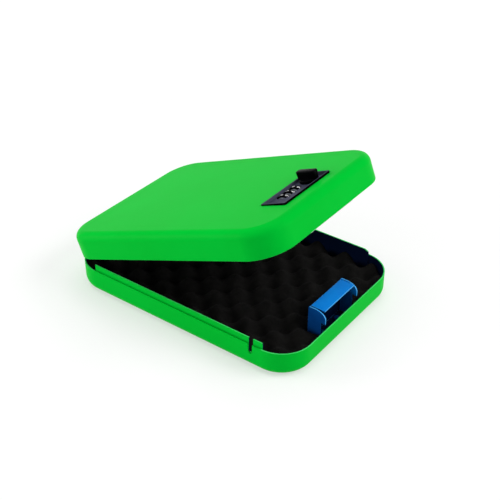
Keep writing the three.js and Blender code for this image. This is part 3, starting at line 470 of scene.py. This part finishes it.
shoulder, nose, curve_z = KEEP_BACK - SHOULDER, KEEP_BACK - NOSE, KEEP_TOP - SHOULDER_DROP
ear = [(KEEP_BACK, FOOT_LOW), (KEEP_BACK, KEEP_TOP - EAR_SOFT), (KEEP_BACK - EAR_SOFT, KEEP_TOP),
       (shoulder, KEEP_TOP)]
ear += [(shoulder + (shoulder - nose) * math.cos(math.pi / 2 + a),
         curve_z + SHOULDER_DROP * math.sin(math.pi / 2 + a)) for a in quarter(16, 1)]
ear += [(nose, NOSE_LOW), (nose + NOSE_LENGTH, NOSE_LOW), (KEEP_BACK - SHANK, NOSE_LOW + 0.4),
        (KEEP_BACK - SHANK, FOOT_LOW)]
fold = [(KEEP_BACK, FOOT_LOW), (KEEP_BACK, KEEP_TOP - FOLD_R)] + bend(FOLD_R, quarter(8, 1))
fold += [(KEEP_BACK - PLATE_REACH, KEEP_TOP), (KEEP_BACK - PLATE_REACH, KEEP_TOP - SHEET)]
fold += bend(FOLD_R - SHEET, reversed(quarter(6)))
fold += [(KEEP_BACK - SHEET, FOOT_LOW + SHEET), (KEEP_BACK - FOOT_REACH, FOOT_LOW + SHEET),
         (KEEP_BACK - FOOT_REACH, FOOT_LOW)]
keeper = piece("keeper_dressed", along_x(extrude(fold, KEEP_X - FOLD_HALF, KEEP_X + FOLD_HALF)),
               KEEPER, "base", replaces=["keeper_bracket"])
web = box((KEEP_X - EAR_OUT, KEEP_BACK - SHEET, FOOT_LOW),
          (KEEP_X + EAR_OUT, KEEP_BACK, KEEP_TOP - 2 * SHEET))
boolean(keeper, [web, along_x(extrude(ear, KEEP_X - EAR_OUT, KEEP_X - EAR_IN)),
                 along_x(extrude(ear, KEEP_X + EAR_IN, KEEP_X + EAR_OUT))], "UNION")
boolean(keeper, [cylinder(RIVET_HOLE, rivet, 0, 4) for rivet in RIVETS])
# The keeper is one blue part: its foot, the faces below its plate and inside the left ear take the
# navy as painted shade, the outside of the left ear and the back of the web the darker blue as
# painted shade, and its front edges the paler blue as painted highlight
for face in keeper.data.polygons:
    x, y, z = (face.center / MM)[:]
    facing = face.normal
    on_foot = z < FOOT_LOW + SHEET + 0.3
    on_plate_front = (y < KEEP_BACK - PLATE_REACH + 0.1 and z > KEEP_TOP - SHEET - 0.1
                      and facing.y < -0.9)
    on_ear_edge = (abs(x - KEEP_X) > EAR_IN - 0.1 and abs(facing.x) < 0.3
                   and y < KEEP_BACK - 1 and z > NOSE_LOW + 0.5)
    inside_left_ear = facing.x > 0.9 and x < KEEP_X
    below_plate = abs(facing.x) < 0.9 and facing.z < 0.1 and y < KEEP_BACK - 0.05
    outside_left_ear = facing.x < -0.9 and x < KEEP_X
    behind_web = y > KEEP_BACK - 0.05 and facing.y > 0.9
    if on_foot:
        face.material_index = KEEPER_DEEP_SHADE
    elif on_plate_front or on_ear_edge:
        face.material_index = KEEPER_HIGHLIGHT
    elif inside_left_ear or below_plate:
        face.material_index = KEEPER_DEEP_SHADE
    elif outside_left_ear or behind_web:
        face.material_index = KEEPER_SHADE
# The rounded edges take the paler blue as a painted highlight
bevel(keeper, 0.3, KEEPER_HIGHLIGHT)


# Foam
def foam_height(x, y):
    """The egg crate's upper face."""
    wave = (math.cos(2 * math.pi * (x - WAVE_START) / PITCH)
            * math.cos(2 * math.pi * (y - WAVE_START) / PITCH))
    return (PEAK + VALLEY) / 2 + (PEAK - VALLEY) / 2 * wave - WAVE_SINK


def crate_block():
    """A block with the waves on top and a flat bottom, larger than the base."""
    half_x, half_y = FOAM_HALF
    nx, ny = int(2 * half_x / FOAM_GRID), int(2 * half_y / FOAM_GRID)

    def at(i, j):
        return j * (nx + 1) + i

    grid = [(-half_x + 2 * half_x * i / nx, -half_y + 2 * half_y * j / ny)
            for j in range(ny + 1) for i in range(nx + 1)]
    verts = [(x, y, foam_height(x, y)) for x, y in grid]
    faces = [(at(i, j), at(i + 1, j), at(i + 1, j + 1), at(i, j + 1))
             for j in range(ny) for i in range(nx)]
    border = [at(i, 0) for i in range(nx)] + [at(nx, j) for j in range(ny)]
    border += [at(i, ny) for i in range(nx, 0, -1)] + [at(0, j) for j in range(ny, 0, -1)]
    start, count = len(verts), len(border)
    verts += [(*grid[b], 0.0) for b in border]
    faces += [(border[k], start + k, start + (k + 1) % count, border[(k + 1) % count])
              for k in range(count)]
    faces.append(tuple(start + k for k in range(count))[::-1])
    return verts, faces


foam = piece("egg_crate_foam", crate_block(), [FOAM], "base",
             replaces=["base_foam"], sharp=60)
room = [(plan(FOAM_INSET + FOAM_EDGE * (1 - math.sin(a)), 12),
         FOAM_LOW + FOAM_EDGE * (1 - math.cos(a))) for a in quarter(6)]
boolean(foam, [loft(room + [(plan(FOAM_INSET, 12), ABOVE_FOAM)])], "INTERSECT")
boolean(foam, [box((KEEP_X - KEEPER_ROOM[0], BEFORE_FOAM, BELOW_FOAM),
                   (KEEP_X + KEEPER_ROOM[0], KEEP_BACK + KEEPER_ROOM[1], ABOVE_FOAM))])

pad = piece("lid_pad", loft([(plan(inset, 12), z) for inset, z in PAD_RINGS]), [FOAM], "lid",
            lid=True, replaces=["lid_foam"])
boolean(pad, [extrude(rounded(*PAD_HOLE_HALF, PAD_HOLE_R, 6, PLATE_MID), *THROUGH)], lid=True)

# Lock plate, with the dials' window and the thumb turn's hole
plate_outline = rounded(*PLATE_HALF, PLATE_R, 8, PLATE_MID)
plate = piece("lock_plate", extrude(plate_outline, PLATE_LOW, PLATE_TOP), [PLATE], "lid",
              lid=True, replaces=["lock_faceplate"])
window = rounded(*WINDOW_HALF, WINDOW_R, 12, (DIAL_X[1], DIAL_Y))
boolean(plate, [extrude(window, *THROUGH), cylinder(KNOB_HOLE, KNOB, *THROUGH),
                along_x(cylinder(DIAL_BAY_R, (DIAL_Y, DIAL_Z), *DIAL_BAY_X, 96))]
        + [cylinder(STUD_HOLE, stud, *THROUGH) for stud in STUDS], lid=True)
bevel(plate, 0.25)

# A raised rim round the plate, which stands proud of the lid; its outer sides are black as painted
# shade, and its inner walls a paler grey as painted light
front_y, back_y = RAISED_MID[1] - RAISED_HALF[1], RAISED_MID[1] + RAISED_HALF[1]


def raised(outline):
    """The outline at the rim's sloping top."""
    slope = (RAISED_BACK - RAISED_FRONT) / (back_y - front_y)
    return [(x, y, RAISED_FRONT + slope * (y - front_y)) for x, y in outline]


outer = rounded(*RAISED_HALF, 1.0, 8, RAISED_MID)
inner = rounded(RAISED_HALF[0] - RAISED_WALL[0], RAISED_HALF[1] - RAISED_WALL[1], 0.8, 8,
                RAISED_MID)
# The outer sides are black as painted shade, the inner walls take the paler grey as painted light
rim_shape, rim_mats = hoop([[(x, y, RAISED_LOW) for x, y in outer], raised(outer), raised(inner),
                            [(x, y, RAISED_LOW) for x, y in inner]],
                           (RAISED_OUTSIDE, RAISED_TOP, RAISED_INSIDE, RAISED_OUTSIDE))
rim = piece("lock_plate_rim", rim_shape, RAISED, "lid", lid=True,
            faces_mat=rim_mats, sharp=30)
bevel(rim, 0.25)


# Dials: number rings with raised digits and finger grooves
def on_dial(x, radius, angle):
    """A point of a dial. Angles run forwards from its top."""
    return (x, DIAL_Y - radius * math.sin(angle), DIAL_Z + radius * math.cos(angle))


def digit_angle(place):
    return DIGIT_TURN + place * DIGIT_STEP


def ring_outline():
    """Radius and angle round a number ring, with a groove after each digit."""
    half = DIGIT_STEP / 2 - GROOVE
    points = []
    for place in range(10):
        middle = digit_angle(place)
        points += [(DIAL_R, middle - half + 2 * half * s / 8) for s in range(9)]
        points += [(DIAL_R - GROOVE_DEPTH * math.sin(math.pi * s / 6),
                    middle + half + 2 * GROOVE * s / 6) for s in range(1, 6)]
    return points


def number_ring(x):
    """A number ring about the axle, and its faces' materials."""
    outline, half = ring_outline(), DIAL_W / 2
    bore, side = [DIAL_BORE] * len(outline), [DIAL_R - DIAL_SHOULDER] * len(outline)
    face, edge = [r for r, _ in outline], [r - DIAL_SOFT for r, _ in outline]
    sections = [(-half, bore), (-half, side), (-half, edge), (-half + DIAL_SOFT, face),
                (half - DIAL_SOFT, face), (half, edge), (half, side), (half, bore)]
    rings = [[on_dial(x + dx, r, a) for r, (_, a) in zip(radii, outline)] for dx, radii in sections]
    return hoop(rings, (1, 0, 0, 0, 0, 0, 1, 0))


def glyph(text):
    """The flat shape of one digit, centred."""
    curve = bpy.data.curves.new("glyph", "FONT")
    curve.body, curve.size, curve.resolution_u = text, DIGIT_SIZE, 5
    curve.align_x, curve.align_y = "CENTER", "CENTER"
    obj = added("glyph", curve)
    depsgraph = bpy.context.evaluated_depsgraph_get()
    mesh = bpy.data.meshes.new_from_object(obj.evaluated_get(depsgraph))
    bpy.data.objects.remove(obj)
    work = bmesh.new()
    work.from_mesh(mesh)
    bmesh.ops.triangulate(work, faces=work.faces)
    bmesh.ops.remove_doubles(work, verts=work.verts, dist=1e-5)
    points = [tuple(v.co) for v in work.verts]
    tris = [tuple(v.index for v in f.verts) for f in work.faces]
    work.free()
    xs, ys = [p[0] for p in points], [p[1] for p in points]
    mid_x, mid_y = (min(xs) + max(xs)) / 2, (min(ys) + max(ys)) / 2
    return [(x - mid_x, y - mid_y) for x, y in zip(xs, ys)], tris


def digits(x, first):
    """The ten digits round a dial, each with an upper and a lower side."""
    verts, faces = [], []
    for place in range(10):
        points, tris = glyph(str((first + place) % 10))
        for lift in (0.02, -0.1):
            start = len(verts)
            verts += [on_dial(x + px, DIAL_R + lift, digit_angle(place) - py / DIAL_R)
                      for px, py in points]
            faces += [tuple(start + k for k in (t if lift > 0 else t[::-1])) for t in tris]
    return verts, faces


for number, (dial_x, first_digit) in enumerate(zip(DIAL_X, FIRST_DIGITS), 1):
    dial_body = f"dial_{number}_body"
    ring_shape, ring_mats = number_ring(dial_x)
    piece(f"dial_ring_{number}", ring_shape, DIAL, dial_body, lid=True,
          replaces=[f"dial_{number}"], faces_mat=ring_mats, sharp=30)
    piece(f"dial_digits_{number}", digits(dial_x, first_digit), [WHITE], dial_body,
          lid=True, sharp=60)

# Thumb turn: a skirt with a rounded edge and a tapered grip bar
skirt = [(SKIRT_R - 0.3, 0), (SKIRT_R, 0.3), (SKIRT_R, SKIRT_TOP)]
skirt += [(SKIRT_R - SKIRT_SOFT * (1 - math.cos(a)), SKIRT_TOP + SKIRT_SOFT * math.sin(a))
          for a in quarter(5, 1)]
skirt = [(radius, KNOB_LOW + z) for radius, z in skirt]
knob = piece("thumb_turn", spun(skirt, KNOB, 72), [BLACK], "knob_body", lid=True,
             replaces=["knob"])
grip = [(rounded(GRIP_HALF[0] + grow, GRIP_HALF[1] + grow, GRIP_R + min(grow, 0), 8, KNOB),
         KNOB_LOW + z)
        for z, grow in ((1.2, 0), (2.8, 0), (5.5, 0.22), (8.5, 0.38), (8.8, 0.33), (9.1, 0.17),
                        (9.3, -0.12), (9.4, -0.5))]
boolean(knob, [loft(grip)], "UNION", lid=True)

# Turned pieces, rounder than the CAD's facets: rivets, nuts, studs, screws and axle
rivet_dome = [(2.4, 0.15), (1.5, 1.2), (1.5, 3.0), (3.0, 3.0), (3.0, 3.25), (2.75, 3.65),
              (2.2, 3.95), (1.2, 4.15), (0.3, 4.2)]
# The rivets take the darker blue as painted shade
for number, rivet in enumerate(RIVETS, 1):
    piece(f"keeper_rivet_round_{number}", spun(rivet_dome, rivet), [BLUE_SHADE], "base",
          replaces=[f"keeper_rivet_{number}"])

nut_crown = [(2.72, NUT_LOW - 0.01), (3.2, NUT_LOW + 0.3), (3.2, NUT_HIGH - 0.3),
             (2.72, NUT_HIGH + 0.01)]
stud_profile = [(1.15, 39.2)] + threaded(1.4, 0.16, 0.4, 39.4, 43.8) + [(1.4, 43.9), (1.4, 47.2)]
for number, stud in enumerate(STUDS, 1):
    nut = piece(f"hex_nut_{number}", cylinder(NUT_R, stud, NUT_LOW, NUT_HIGH, 6), [STEEL], "lid",
                lid=True, replaces=[f"lock_nut_{number}"])
    boolean(nut, [spun(nut_crown, stud)], "INTERSECT", lid=True)
    boolean(nut, [cylinder(NUT_HOLE, stud, 39, 44, 32)], lid=True)
    piece(f"weld_stud_{number}", spun(stud_profile, stud, 32), [STEEL], "lid",
          lid=True, sharp=50)


def recess(centre, half_x, half_y, low, high):
    """One slot of the recess in a screw's head."""
    x, y = centre
    return box((x - half_x, y - half_y, low), (x + half_x, y + half_y, high))


shoulder_profile = [(2.7, 21.3), (3.0, 21.55), (3.0, 22.2), (2.85, 22.4), (1.6, 22.4),
                    (1.6, 23.85), (1.1, 23.85), (1.1, 24.2)]
shoulder_profile += threaded(1.1, 0.14, 0.4, 24.4, 29.7) + [(0.8, 30.0)]
for number, screw_x in enumerate(SLIDE_SCREWS, 1):
    centre = (screw_x, SLIDE_SCREW_Y)
    screw = piece(f"shoulder_screw_{number}", spun(shoulder_profile, centre), [STEEL], "lid",
                  lid=True, replaces=[f"slide_screw_{number}"])
    boolean(screw, [recess(centre, *CROSS_HALF, *CROSS_DEPTH),
                    recess(centre, *reversed(CROSS_HALF), *CROSS_DEPTH)], lid=True)

crank_screw_profile = [(1.3, 24.0), (1.5, 24.2), (1.5, 24.8), (0.8, 24.8), (0.8, 25.4)]
crank_screw_profile += threaded(0.8, 0.1, 0.3, 25.5, 30.8) + [(0.6, 31.1)]
screw = piece("crank_screw_turned", spun(crank_screw_profile, KNOB, 32), [STEEL], "knob_body",
              lid=True, replaces=["crank_screw"])
boolean(screw, [recess(KNOB, 1.1, 0.2, 23, 24.35)], lid=True)

axle_profile = [(1.35, -21.4), (1.6, -21.15), (1.6, 8.45), (1.35, 8.7)]
piece("dial_axle_turned", along_x(spun(axle_profile, (DIAL_Y, DIAL_Z))), [STEEL], "lid",
      lid=True, replaces=["dial_axle"])

# Piano hinge: rolled knuckles, which the two leaves share in turn, and a pin with formed heads
for name, body, on_lid in (("hinge_leaf_base", "base", False), ("hinge_leaf_lid", "lid", True)):
    leaf_low, leaf_high = sorted((HINGE.z, HINGE.z + (LEAF_DEPTH if on_lid else -LEAF_DEPTH)))
    leaf_y, reach = HINGE.y - BARREL, BARREL + GAP
    leaf_box = box((-HINGE_HALF, leaf_y, leaf_low), (HINGE_HALF, leaf_y + LEAF, leaf_high))
    leaf = piece(name + "_rolled", leaf_box, [GREEN], body, lid=on_lid,
                 replaces=[name])
    boolean(leaf, [along_x(cylinder(BARREL, HINGE_AT, -HINGE_HALF, HINGE_HALF, 64))], "UNION",
            lid=on_lid)
    cuts = [along_x(cylinder(BORE, HINGE_AT, -60, 60, 64))]
    for knuckle in range(0 if on_lid else 1, KNUCKLES, 2):
        left = -HINGE_HALF + knuckle * KNUCKLE_W - GAP / 2
        cuts.append(box((left if knuckle else left - GAP, HINGE.y - reach - GAP, HINGE.z - reach),
                        (left + KNUCKLE_W + GAP, HINGE.y + reach, HINGE.z + reach)))
    boolean(leaf, cuts, lid=on_lid)
    bevel(leaf, 0.12)
pin_head = [(1.7, -49.1), (2.1, -48.8), (2.1, -48.3), (1.5, -48.3)]
pin_profile = pin_head + [(radius, -x) for radius, x in reversed(pin_head)]
piece("hinge_pin_turned", along_x(spun(pin_profile, HINGE_AT)), [STEEL], "base",
      replaces=["hinge_pin"])


def dress(name, body, mat, width):
    """The CAD node's own shape with its edges rounded off."""
    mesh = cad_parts[name].data.copy()
    mesh.materials.clear()
    mesh.materials.append(mat)
    work = bmesh.new()
    work.from_mesh(mesh)
    bmesh.ops.remove_doubles(work, verts=work.verts, dist=2e-7)
    bmesh.ops.dissolve_limit(work, angle_limit=math.radians(0.5), verts=work.verts,
                             edges=work.edges)
    work.to_mesh(mesh)
    work.free()
    bevel(settle(name + "_edged", mesh, body, [name]), width)


dress("lock_case", "lid", ZINC, 0.2)
dress("latch_slide", "latch", STEEL, 0.12)
dress("fence_bar", "fence", STEEL, 0.1)
dress("knob_spindle", "knob_body", STEEL, 0.12)
dress("drive_crank", "knob_body", ZINC, 0.12)
dress("detent_spring", "lid", SPRING, 0.04)
for number in (1, 2, 3):
    dress(f"gate_ring_{number}", f"dial_{number}_body", BRASS, 0.08)

# Camera, solved from the edges of the safe in the photograph
CAMERA_AT = Vector((-552.47, -425.99, 509.36)) * MM
CAMERA_RIGHT = (0.59399, -0.80447, 0.00088)
CAMERA_UP = (0.45096, 0.33388, 0.82774)
CAMERA_BACK = (-0.66619, -0.49127, 0.56111)
camera = added("camera", bpy.data.cameras.new("camera"))
axes = [[*row, 0] for row in zip(CAMERA_RIGHT, CAMERA_UP, CAMERA_BACK)] + [[0, 0, 0, 1]]
turned = Matrix(axes).to_quaternion().to_matrix().to_4x4()
camera.matrix_world = Matrix.Translation(CAMERA_AT) @ turned
camera.data.sensor_width, camera.data.lens = 36, 68.07
camera.data.clip_start, camera.data.clip_end = 0.02, 50
bpy.context.scene.camera = camera


# Floor and world, which light the pieces dimly and look white themselves
def pale_rays(tree):
    """One for a ray from the camera, a glossy one or one through glass."""
    path = node(tree, "ShaderNodeLightPath")
    out = path.outputs["Is Camera Ray"]
    for kind in ("Is Glossy Ray", "Is Transmission Ray"):
        most = node(tree, "ShaderNodeMath", operation="MAXIMUM")
        tree.links.new(out, most.inputs[0])
        tree.links.new(path.outputs[kind], most.inputs[1])
        out = most.outputs[0]
    return out


def split(tree, output_kind, lighting, seen):
    """One shader for the light on the pieces and another for pale rays."""
    mix, out = tree.nodes.new("ShaderNodeMixShader"), tree.nodes.new(output_kind)
    tree.links.new(pale_rays(tree), mix.inputs[0])
    tree.links.new(lighting.outputs[0], mix.inputs[1])
    tree.links.new(seen.outputs[0], mix.inputs[2])
    tree.links.new(mix.outputs[0], out.inputs["Surface"])


FLOOR_HALF, FLOOR_Z = 6, -0.0004
floor_corners = [(x * FLOOR_HALF, y * FLOOR_HALF, FLOOR_Z)
                 for x, y in ((-1, -1), (1, -1), (1, 1), (-1, 1))]
floor_mesh = bpy.data.meshes.new("floor")
floor_mesh.from_pydata(floor_corners, [], [(0, 1, 2, 3)])
floor = added("floor", floor_mesh)
ground = bpy.data.materials.new("floor")
ground.use_nodes = True
tree = ground.node_tree
tree.nodes.clear()
glow = node(tree, "ShaderNodeEmission", Color=(1, 1, 1, 1))
spot = node(tree, "ShaderNodeTexCoord")
distance = node(tree, "ShaderNodeVectorMath", operation="LENGTH")
rise = node(tree, "ShaderNodeMapRange",
            **{"From Min": 0.4, "From Max": 1.6, "To Min": 0.5, "To Max": 1.0})
tree.links.new(spot.outputs["Object"], distance.inputs[0])
tree.links.new(distance.outputs["Value"], rise.inputs["Value"])
tree.links.new(rise.outputs["Result"], glow.inputs["Strength"])
dim = node(tree, "ShaderNodeBsdfDiffuse", Color=(0.52, 0.52, 0.52, 1))
both = tree.nodes.new("ShaderNodeAddShader")
tree.links.new(dim.outputs[0], both.inputs[0])
tree.links.new(glow.outputs[0], both.inputs[1])
split(tree, "ShaderNodeOutputMaterial",
      node(tree, "ShaderNodeBsdfDiffuse", Color=(0.9, 0.9, 0.9, 1)), both)
floor_mesh.materials.append(ground)

world = bpy.data.worlds.new("studio")
bpy.context.scene.world = world
world.use_nodes = True
tree = world.node_tree
tree.nodes.clear()
split(tree, "ShaderNodeOutputWorld",
      node(tree, "ShaderNodeBackground", Color=(1, 1, 1, 1), Strength=0.17),
      node(tree, "ShaderNodeBackground", Color=(1, 1, 1, 1), Strength=1.0))


def lamp(name, place, target, size, power):
    """A rectangular lamp turned to a target, in metres and watts."""
    data = bpy.data.lights.new(name, "AREA")
    data.shape, data.size, data.size_y, data.energy = "RECTANGLE", *size, power
    obj = added(name, data)
    obj.location = place
    obj.rotation_euler = (Vector(target) - Vector(place)).to_track_quat("-Z", "Y").to_euler()


lamp("top", (0.1, 0.25, 1.7), (0, 0, 0.05), (1.5, 1.5), 16)
lamp("side", (-1.6, 0.35, 0.5), (0, 0, 0.05), (0.9, 0.6), 4.8)
lamp("side_back", (-1.05, 1.45, 0.42), (0, 0, 0.05), (0.9, 0.6), 14)
lamp("front", (0.7, -1.5, 0.36), (0, 0, 0.03), (1.1, 0.5), 7.5)
lamp("front_high", (0.5, -1.2, 1.3), (0, 0, 0.03), (1.1, 0.6), 12.6)

bpy.context.scene.view_settings.view_transform = "Standard"
